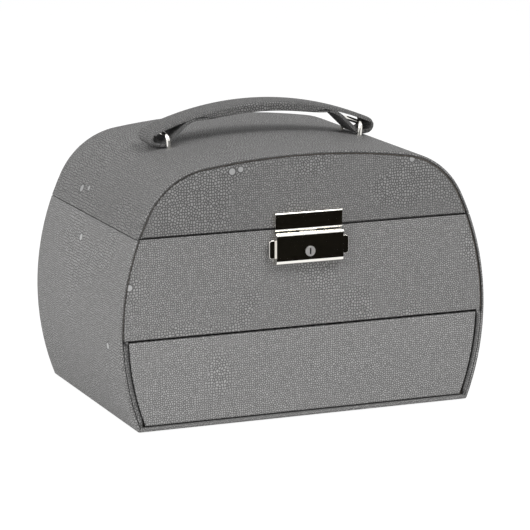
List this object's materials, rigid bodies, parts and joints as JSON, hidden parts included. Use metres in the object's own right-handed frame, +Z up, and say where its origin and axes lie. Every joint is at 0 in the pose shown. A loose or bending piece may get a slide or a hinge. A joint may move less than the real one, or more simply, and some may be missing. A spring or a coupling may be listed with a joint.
{
  "type": "jewelry case",
  "caption": "Leather-covered travel jewelry case with bulging sides, arched hinged lid, strap handle, front lock and a pull-out drawer.",
  "frame": {"origin": "centre of the felt pad's rest face, under the middle of the case", "axes": "+X to the case's right along its width, +Y to the rear, +Z up; the lock and drawer front face -Y"},
  "size_m": [0.22, 0.1551, 0.1693],
  "materials": {
    "felt": "matt pressed felt",
    "base_leather": "fine-grained pebbled leather, satin",
    "lid_leather": "pebbled leather, satin",
    "drawer_leather": "coarse pebbled leather, satin",
    "strap_leather": "pebbled leather, satin",
    "board": "raw fibreboard",
    "guide_wood": "waxed hardwood",
    "drawer_paper": "board covered with dark paper",
    "suede": "short-napped suede cloth",
    "suede_pad": "short-napped suede cloth over foam",
    "chrome": "polished",
    "hinge_steel": "nickel plated",
    "hidden_steel": "plain",
    "mirror_frame": "satin",
    "mirror": "silvered glass"
  },
  "bodies": {
    "base": {"bottom_pad": "felt", "base_wrap": "base_leather", "base_side_board_left": "board", "base_side_board_right": "board", "base_bottom_board": "board", "base_front_board": "board", "base_front_facing": "base_leather", "base_back_board": "board", "base_back_facing": "base_leather", "deck_board": "board", "drawer_guides": "guide_wood", "compartment_liner": "suede", "long_divider": "suede", "front_cross_divider": "suede", "rear_cross_divider": "suede", "floor_pad": "suede_pad", "ring_roll_1": "suede_pad", "ring_roll_2": "suede_pad", "ring_roll_3": "suede_pad", "ring_roll_4": "suede_pad", "ring_roll_5": "suede_pad", "lock_body": "chrome", "lock_back_plate": "hidden_steel", "lock_spring": "hidden_steel", "lock_rivets": "hidden_steel", "hinge_base_leaf_left": "hinge_steel", "hinge_base_leaf_right": "hinge_steel", "hinge_pins": "hinge_steel", "hinge_base_screws": "hinge_steel"},
    "lid": {"lid_wrap": "lid_leather", "lid_band_board": "board", "lid_front_board": "board", "lid_front_facing": "lid_leather", "lid_back_board": "board", "lid_back_facing": "lid_leather", "lid_liner": "suede", "mirror_backing": "suede", "mirror_frame": "mirror_frame", "mirror_glass": "mirror", "hinge_lid_leaf_left": "hinge_steel", "hinge_lid_leaf_right": "hinge_steel", "hinge_lid_screws": "hinge_steel", "hasp_plate": "chrome", "hasp_rivets": "hidden_steel", "bail_left": "chrome", "bail_right": "chrome", "bail_washers": "hidden_steel"},
    "handle": {"handle_strap": "strap_leather", "handle_lining": "strap_leather"},
    "drawer": {"drawer_front_board": "board", "drawer_front_facing": "drawer_leather", "drawer_side_left": "drawer_paper", "drawer_side_right": "drawer_paper", "drawer_back": "drawer_paper", "drawer_bottom": "drawer_paper", "drawer_lining": "suede", "drawer_divider_long": "suede", "drawer_divider_cross": "suede"},
    "slider": {"release_slider": "chrome"},
    "key": {"key_cylinder": "chrome"}
  },
  "joints": [
    {"name": "lid_hinge", "type": "hinge", "parent": "base", "child": "lid", "pos_m": [0, 0.0751, 0.1083], "axis": [-1, 0, 0], "range_deg": [0, 100]},
    {"name": "drawer_slide", "type": "slide", "parent": "base", "child": "drawer", "axis": [0, -1, 0], "range_m": [0, 0.1]},
    {"name": "handle_lift", "type": "slide", "parent": "lid", "child": "handle", "axis": [0, 0, 1], "range_m": [0, 0.002]},
    {"name": "slider_push", "type": "slide", "parent": "base", "child": "slider", "axis": [1, 0, 0], "range_m": [0, 0.0025], "stiffness_N_per_m": 400, "springref_m": -0.001},
    {"name": "key_turn", "type": "hinge", "parent": "base", "child": "key", "pos_m": [0, -0.0768, 0.0956], "axis": [0, 1, 0], "range_deg": [0, 90]}
  ]
}
